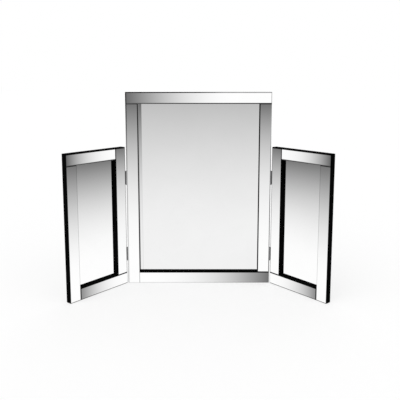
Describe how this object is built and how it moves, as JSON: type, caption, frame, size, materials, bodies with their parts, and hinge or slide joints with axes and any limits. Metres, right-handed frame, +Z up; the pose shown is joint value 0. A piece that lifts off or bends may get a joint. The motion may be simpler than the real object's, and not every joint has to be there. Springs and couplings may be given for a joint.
{
  "type": "trifold vanity mirror",
  "caption": "Free-standing trifold dressing-table mirror: a tall centre panel with a hinged wing on each side, in black frames faced with mirror-glass strips.",
  "frame": {"origin": "on the table, under the middle of the centre panel: the centre of the underside of its foot felt", "axes": "+X to the right of a person looking in, along the centre panel; +Y from the glass towards the back; +Z up"},
  "size_m": [0.685, 0.172, 0.541],
  "materials": {
    "mirror_glass": "polished",
    "black_frame": "satin",
    "back_board": "matte",
    "packing_card": "matte",
    "mounting_tape": "matte",
    "foot_felt": "matte",
    "zinc_clip": "satin",
    "zinc_screw": "satin",
    "hinge_steel": "satin"
  },
  "bodies": {
    "centre_panel": {"centre_back_board": "back_board", "centre_back_clips": "zinc_clip", "centre_bottom_mirror_strip": "mirror_glass", "centre_clip_screws": "zinc_screw", "centre_foot_felt": "foot_felt", "centre_frame_bottom_rail": "black_frame", "centre_frame_left_stile": "black_frame", "centre_frame_right_stile": "black_frame", "centre_frame_top_rail": "black_frame", "centre_hinge_screws": "zinc_screw", "centre_left_mirror_strip": "mirror_glass", "centre_mirror_pane": "mirror_glass", "centre_mounting_tape": "mounting_tape", "centre_packing_card": "packing_card", "centre_right_mirror_strip": "mirror_glass", "centre_top_mirror_strip": "mirror_glass", "left_lower_hinge_centre_leaf": "hinge_steel", "left_lower_hinge_pin": "hinge_steel", "left_upper_hinge_centre_leaf": "hinge_steel", "left_upper_hinge_pin": "hinge_steel", "right_lower_hinge_centre_leaf": "hinge_steel", "right_lower_hinge_pin": "hinge_steel", "right_upper_hinge_centre_leaf": "hinge_steel", "right_upper_hinge_pin": "hinge_steel"},
    "left_wing": {"left_lower_hinge_wing_leaf": "hinge_steel", "left_upper_hinge_wing_leaf": "hinge_steel", "left_wing_back_board": "back_board", "left_wing_back_clips": "zinc_clip", "left_wing_bottom_mirror_strip": "mirror_glass", "left_wing_clip_screws": "zinc_screw", "left_wing_foot_felt": "foot_felt", "left_wing_frame_bottom_rail": "black_frame", "left_wing_frame_hinge_stile": "black_frame", "left_wing_frame_outer_stile": "black_frame", "left_wing_frame_top_rail": "black_frame", "left_wing_hinge_mirror_strip": "mirror_glass", "left_wing_hinge_screws": "zinc_screw", "left_wing_mirror_pane": "mirror_glass", "left_wing_mounting_tape": "mounting_tape", "left_wing_outer_mirror_strip": "mirror_glass", "left_wing_packing_card": "packing_card", "left_wing_top_mirror_strip": "mirror_glass"},
    "right_wing": {"right_lower_hinge_wing_leaf": "hinge_steel", "right_upper_hinge_wing_leaf": "hinge_steel", "right_wing_back_board": "back_board", "right_wing_back_clips": "zinc_clip", "right_wing_bottom_mirror_strip": "mirror_glass", "right_wing_clip_screws": "zinc_screw", "right_wing_foot_felt": "foot_felt", "right_wing_frame_bottom_rail": "black_frame", "right_wing_frame_hinge_stile": "black_frame", "right_wing_frame_outer_stile": "black_frame", "right_wing_frame_top_rail": "black_frame", "right_wing_hinge_mirror_strip": "mirror_glass", "right_wing_hinge_screws": "zinc_screw", "right_wing_mirror_pane": "mirror_glass", "right_wing_mounting_tape": "mounting_tape", "right_wing_outer_mirror_strip": "mirror_glass", "right_wing_packing_card": "packing_card", "right_wing_top_mirror_strip": "mirror_glass"}
  },
  "joints": [
    {"name": "left_wing_hinge", "type": "hinge", "parent": "centre_panel", "child": "left_wing", "pos_m": [-0.201, -0.01025, 0.196], "axis": [0, 0, 1], "range_deg": [-50, 130]},
    {"name": "right_wing_hinge", "type": "hinge", "parent": "centre_panel", "child": "right_wing", "pos_m": [0.201, -0.01025, 0.196], "axis": [0, 0, -1], "range_deg": [-50, 130]}
  ]
}
